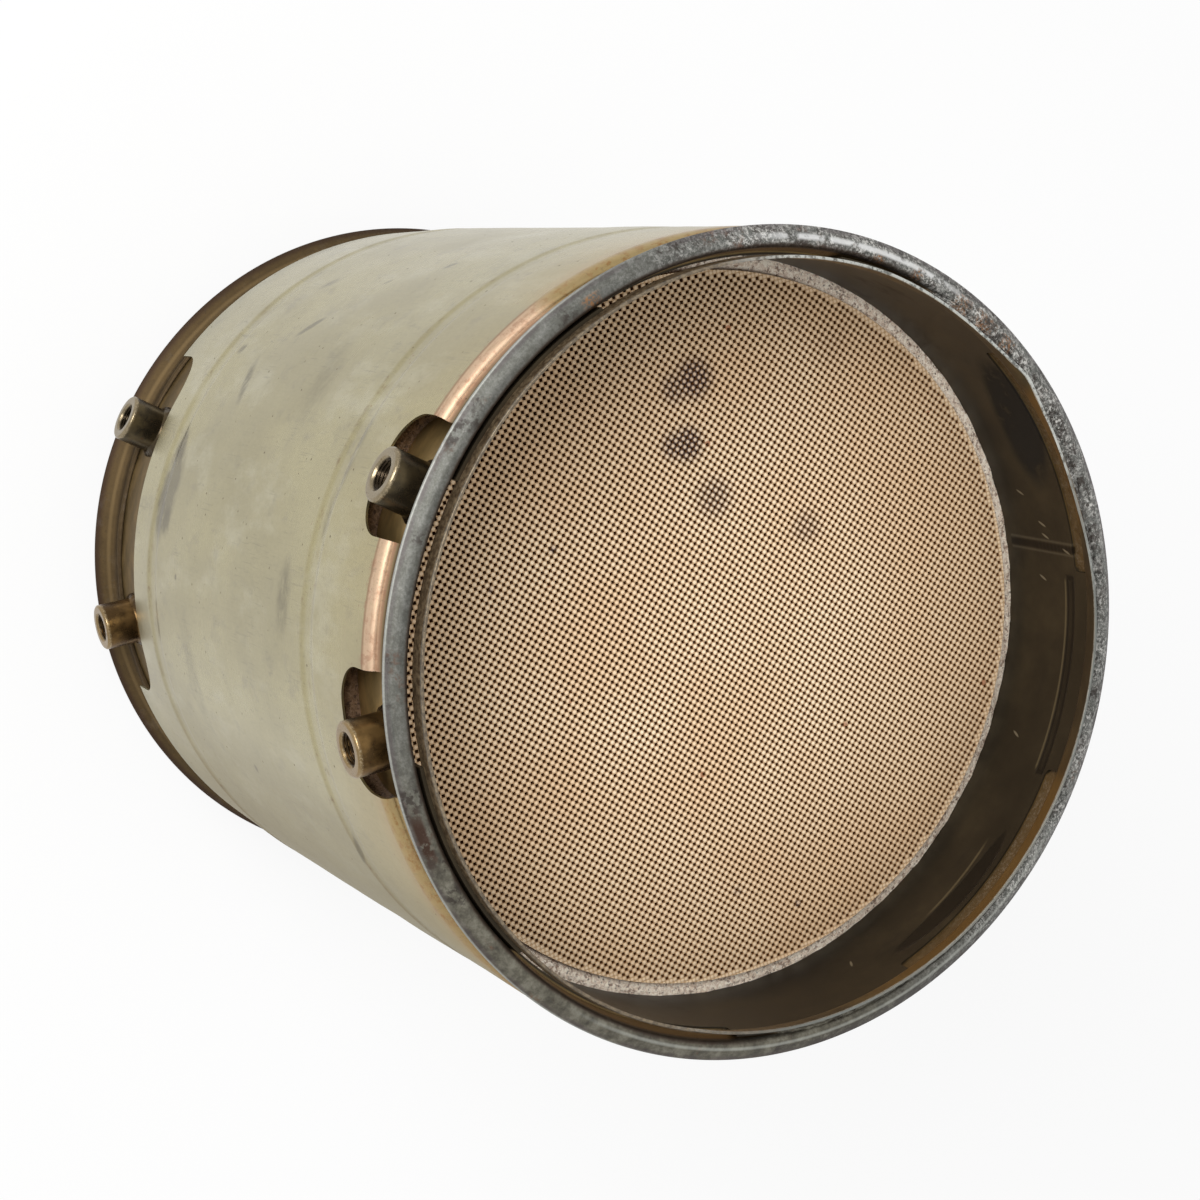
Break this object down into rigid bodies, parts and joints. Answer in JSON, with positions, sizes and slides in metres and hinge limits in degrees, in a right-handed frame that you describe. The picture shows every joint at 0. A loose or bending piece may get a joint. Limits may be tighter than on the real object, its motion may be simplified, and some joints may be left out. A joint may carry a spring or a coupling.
{
  "type": "diesel particulate filter",
  "caption": "Round truck exhaust filter canister with a wall-flow honeycomb, clamp flanges on both ends, an insulated heat shield with notches and threaded sensor bosses.",
  "frame": {"origin": "on the canister's axis, at the plane of the inlet flange's sealing lip that it stands on", "axes": "+Z along the axis from the inlet end to the outlet end, -Y towards the middle of the sensor bosses"},
  "size_m": [0.344, 0.3476, 0.4033],
  "materials": {
    "ceramic": "matt cordierite ceramic",
    "mat": "matt mineral fibre",
    "blanket": "matt mineral fibre",
    "can_steel": "heat-darkened stainless sheet",
    "ring_steel": "straw-tinted stainless sheet",
    "flange_steel": "grey oxidised stainless, light rust",
    "shield_steel": "dull glossy stainless sheet, worn",
    "boss_steel": "heat-darkened turned steel"
  },
  "bodies": {
    "root": {"substrate": "ceramic", "support_mat": "mat", "can_shell": "can_steel", "outlet_pilot_ring": "ring_steel", "inlet_clamp_flange": "flange_steel", "outlet_clamp_flange": "flange_steel", "insulation_blanket": "blanket", "heat_shield": "shield_steel", "inlet_sensor_boss_1": "boss_steel", "inlet_sensor_boss_2": "boss_steel", "outlet_sensor_boss_1": "boss_steel", "outlet_sensor_boss_2": "boss_steel"}
  },
  "joints": []
}
